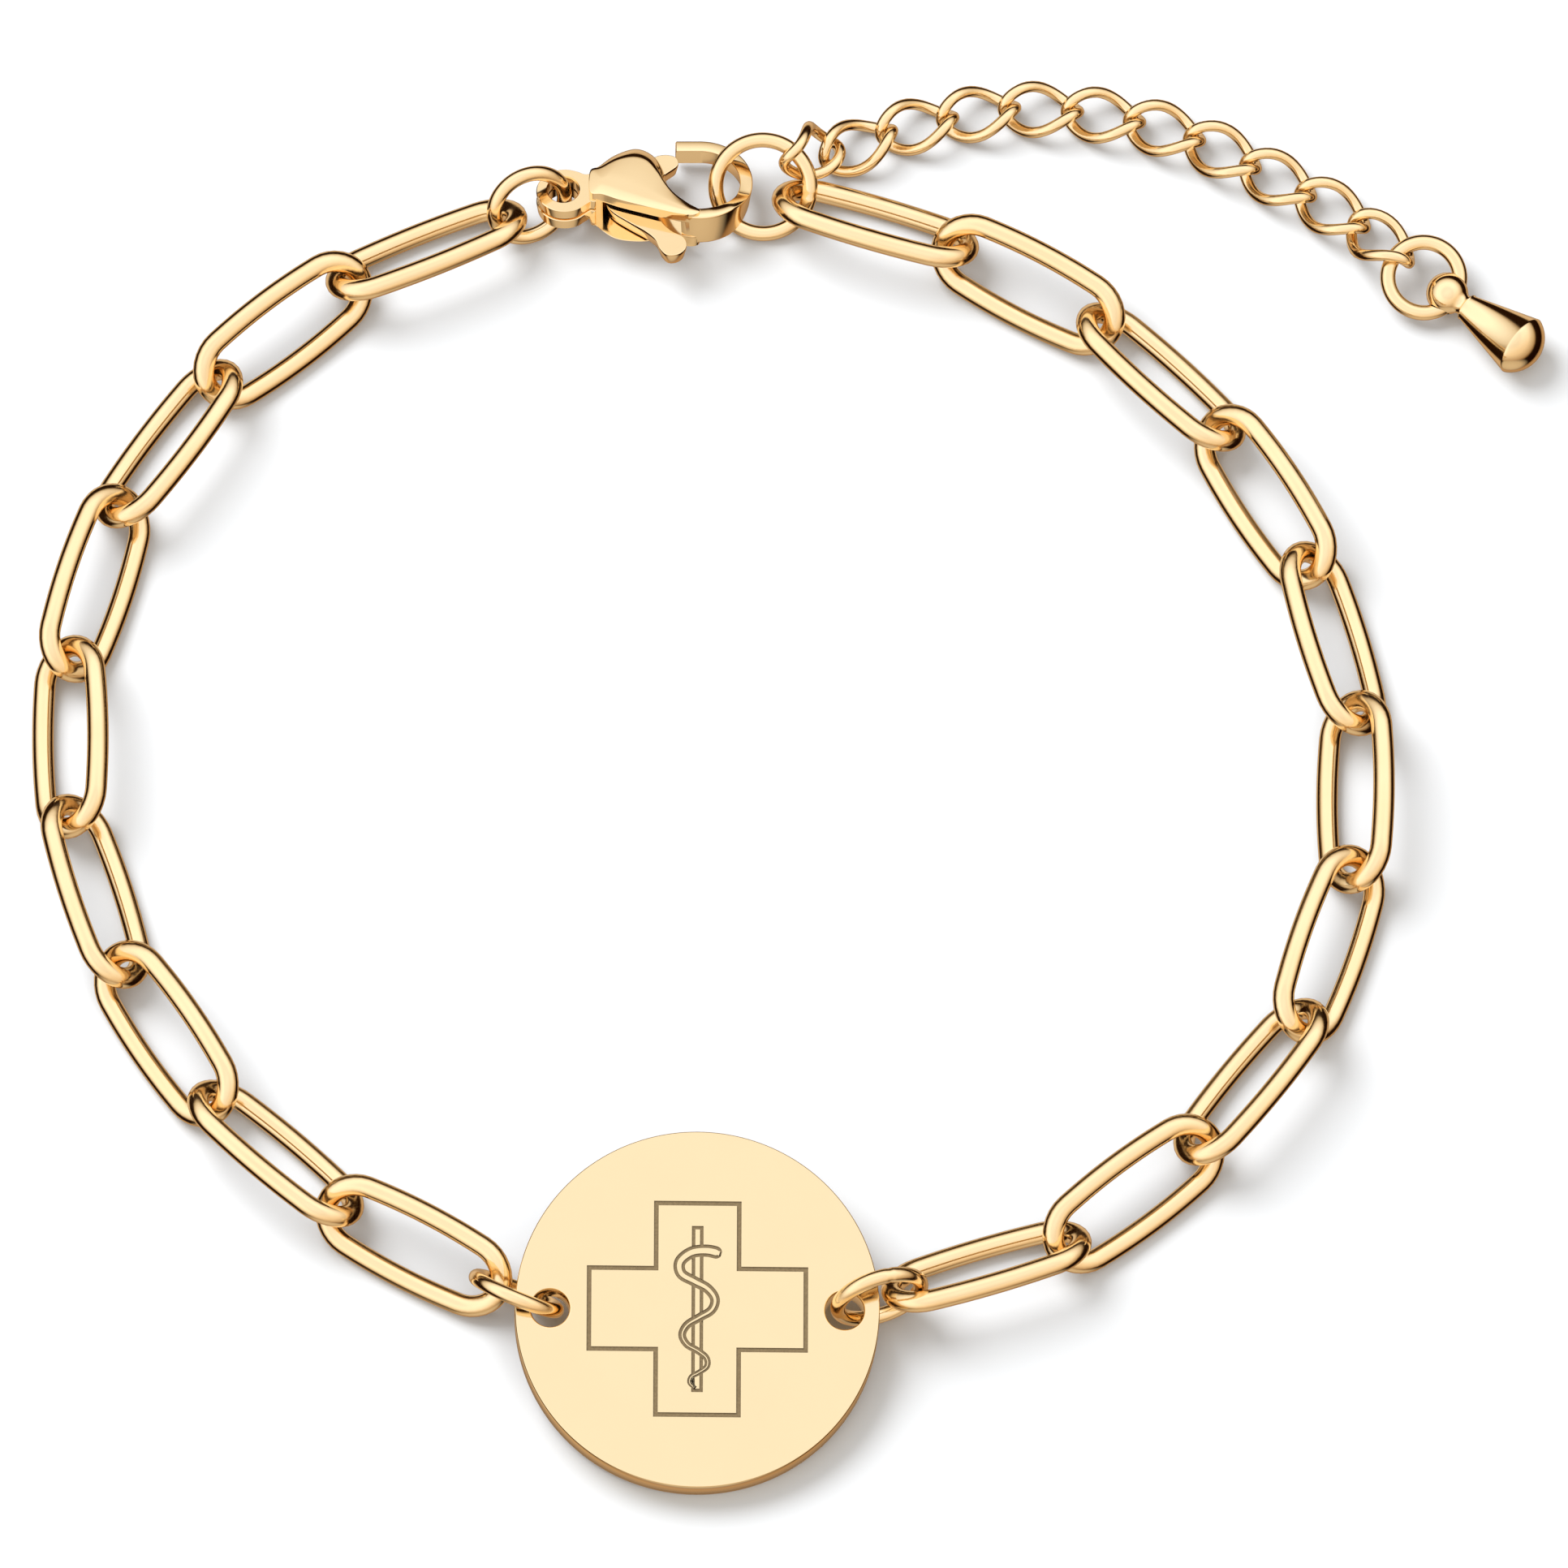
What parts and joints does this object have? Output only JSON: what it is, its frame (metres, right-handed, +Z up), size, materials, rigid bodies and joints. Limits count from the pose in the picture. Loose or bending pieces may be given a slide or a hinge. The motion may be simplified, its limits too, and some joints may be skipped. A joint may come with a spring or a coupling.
{
  "type": "medical alert bracelet",
  "caption": "Gold-tone medical alert bracelet: an engraved round disc on a paperclip chain, closed with a lobster clasp, with a curb extension chain and drop.",
  "frame": {"origin": "middle of the bracelet's outline in plan, on the table that it lies on", "axes": "+Z up, +Y from the disc at the front to the clasp at the back, +X to the extension chain's side"},
  "size_m": [0.0628, 0.0632, 0.0042],
  "materials": {
    "gold_disc": "polished flat face with an engraved figure",
    "gold_links": "polished",
    "gold_rings": "polished",
    "gold_clasp": "polished",
    "gold_drop": "polished"
  },
  "bodies": {
    "bracelet": {"disc": "gold_disc", "disc_ring_left": "gold_rings", "disc_ring_right": "gold_rings", "link_left_1": "gold_links", "link_left_2": "gold_links", "link_left_3": "gold_links", "link_left_4": "gold_links", "link_left_5": "gold_links", "link_left_6": "gold_links", "link_left_7": "gold_links", "link_left_8": "gold_links", "link_left_9": "gold_links", "link_right_1": "gold_links", "link_right_2": "gold_links", "link_right_3": "gold_links", "link_right_4": "gold_links", "link_right_5": "gold_links", "link_right_6": "gold_links", "link_right_7": "gold_links", "link_right_8": "gold_links", "link_right_9": "gold_links", "link_right_10": "gold_links", "clasp_ring": "gold_rings", "clasp_body": "gold_clasp", "clasp_rivet": "gold_clasp", "end_ring": "gold_rings", "curb_link_1": "gold_links", "curb_link_2": "gold_links", "curb_link_3": "gold_links", "curb_link_4": "gold_links", "curb_link_5": "gold_links", "curb_link_6": "gold_links", "curb_link_7": "gold_links", "curb_link_8": "gold_links", "curb_link_9": "gold_links", "curb_link_10": "gold_links", "curb_link_11": "gold_links", "drop_ring": "gold_rings", "drop": "gold_drop"},
    "lever": {"clasp_lever": "gold_clasp"}
  },
  "joints": [
    {"name": "lever_hinge", "type": "hinge", "parent": "bracelet", "child": "lever", "pos_m": [-0.00642, 0.02599, 0.00139], "axis": [0, 0.2419, 0.9703], "range_deg": [-25, 0], "stiffness_Nm_per_rad": 0.01}
  ]
}
